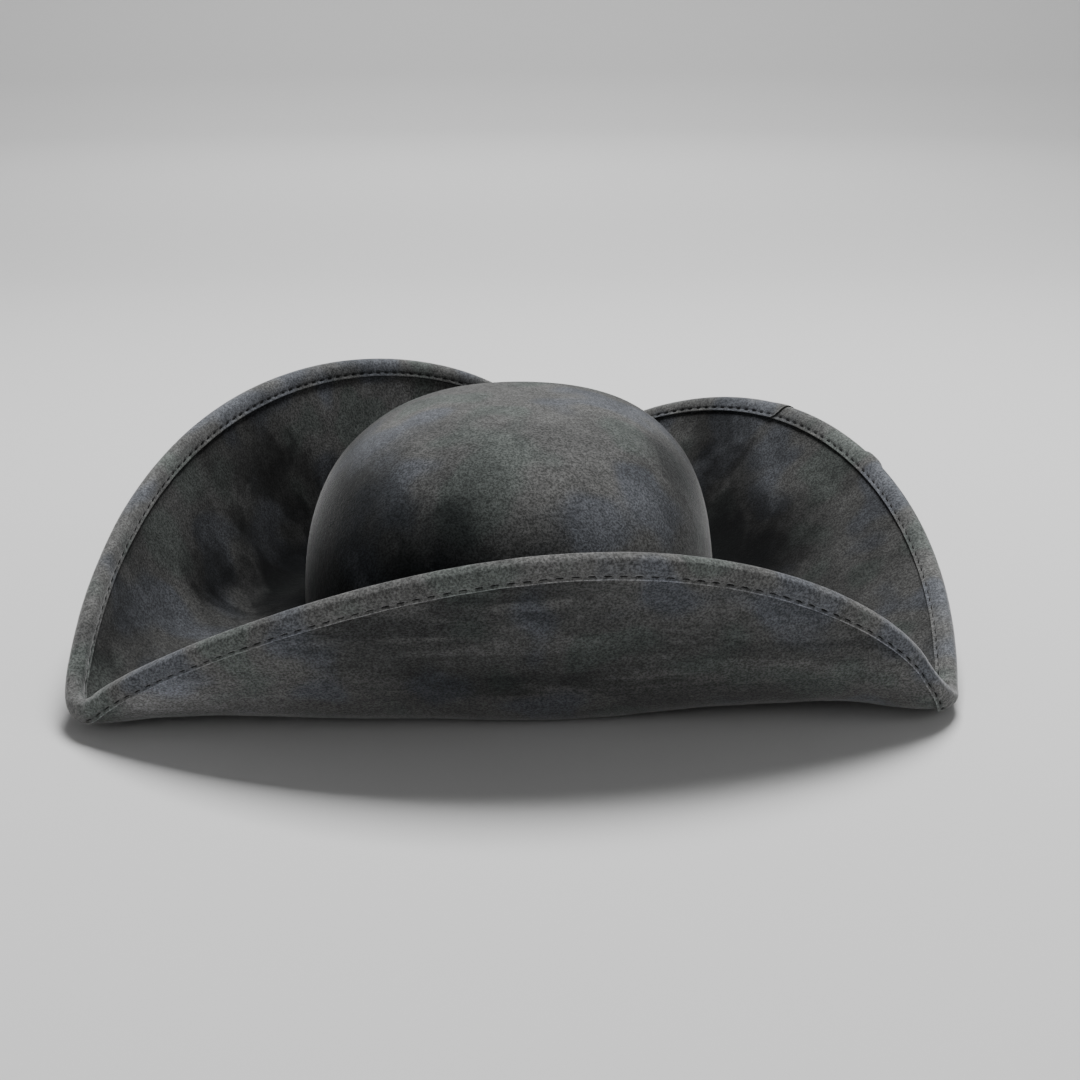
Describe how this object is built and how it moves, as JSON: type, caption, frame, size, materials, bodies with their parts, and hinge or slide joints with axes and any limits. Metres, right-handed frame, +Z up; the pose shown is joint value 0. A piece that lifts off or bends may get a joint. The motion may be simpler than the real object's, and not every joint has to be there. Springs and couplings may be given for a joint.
{
  "type": "pirate hat",
  "caption": "Soft three-cornered pirate hat with a smooth round crown, a turned-up brim and a bound, wired edge.",
  "frame": {"origin": "on the table under the middle of the crown's head opening", "axes": "+Z up out of the crown, +Y towards the corner worn at the front, +X to the right seen from behind"},
  "size_m": [0.3471, 0.3895, 0.096],
  "materials": {
    "suede": "brushed nap",
    "binding": "brushed nap",
    "stiffener": "matte",
    "satin": "satin",
    "sweatband": "ribbed",
    "reed": "matte",
    "thread": "matte",
    "steel": "drawn",
    "label": "woven"
  },
  "bodies": {
    "root": {"crown_cover": "suede", "crown_stiffener": "stiffener", "lining_side": "satin", "lining_tip": "satin", "sweatband": "sweatband", "sweatband_reed": "reed", "sweatband_stitching": "thread", "care_label": "label", "brim_upper_suede": "suede", "brim_stiffener": "stiffener", "brim_under_suede": "suede", "edge_binding": "binding", "binding_stitching_inner": "thread", "binding_stitching_outer": "thread", "brim_wire": "steel", "wire_ferrule": "steel"}
  },
  "joints": []
}
